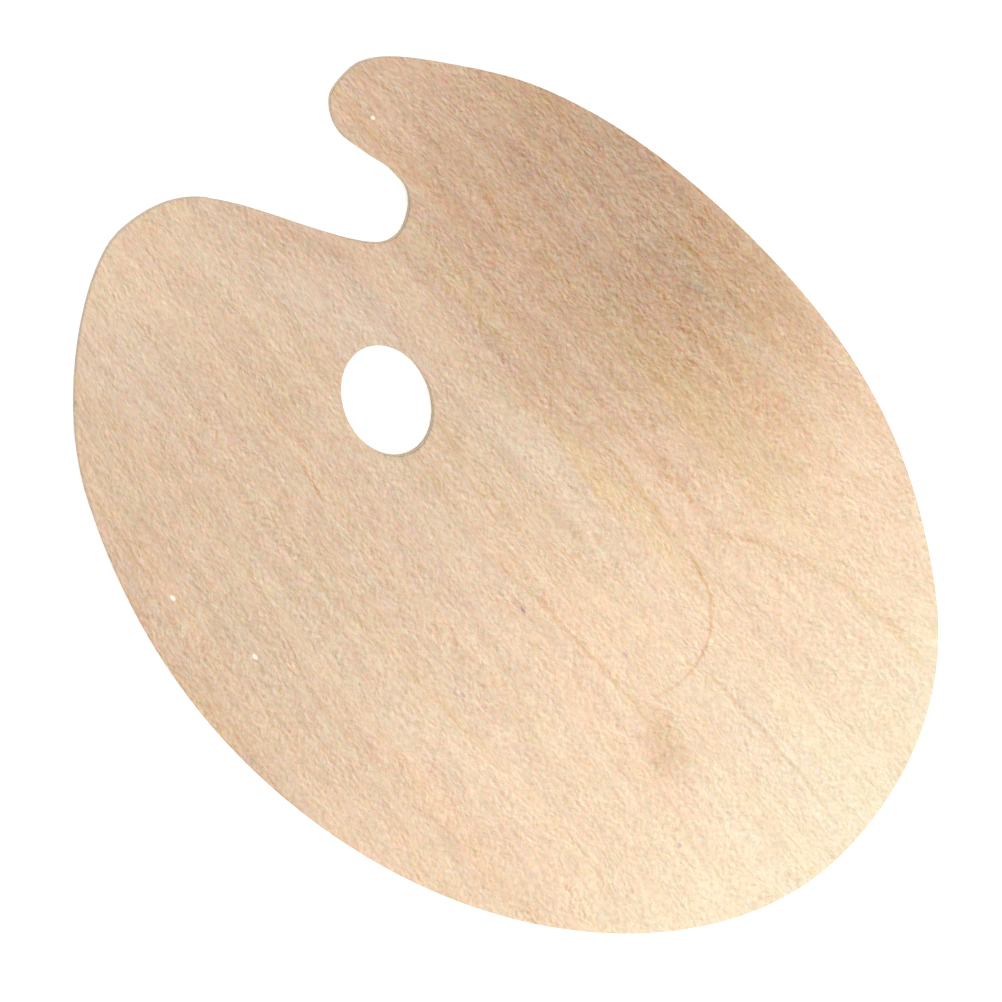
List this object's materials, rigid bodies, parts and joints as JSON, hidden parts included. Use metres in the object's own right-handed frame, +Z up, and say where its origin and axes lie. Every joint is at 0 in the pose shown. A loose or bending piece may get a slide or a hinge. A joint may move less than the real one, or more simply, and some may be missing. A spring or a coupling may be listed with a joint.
{
  "type": "mixing palette",
  "caption": "Thin oval wooden board with a thumb hole, a finger notch and a horn, held in one hand to mix paint on.",
  "frame": {"origin": "centre of the bounding box at the resting face, under the middle of the board", "axes": "+X from the thumb-hole end to the far end, +Y towards the side with the horn, +Z up out of the painting face"},
  "size_m": [0.35, 0.25, 0.004],
  "materials": {
    "face_wood": "sanded bare, fine grain along the board",
    "core_wood": "sawn edge, grain across the board",
    "back_wood": "sanded bare, grain along the board",
    "glue": "cured resin film, dull"
  },
  "bodies": {
    "root": {"face_veneer": "face_wood", "upper_glue_line": "glue", "core_veneer": "core_wood", "lower_glue_line": "glue", "back_veneer": "back_wood"}
  },
  "joints": []
}
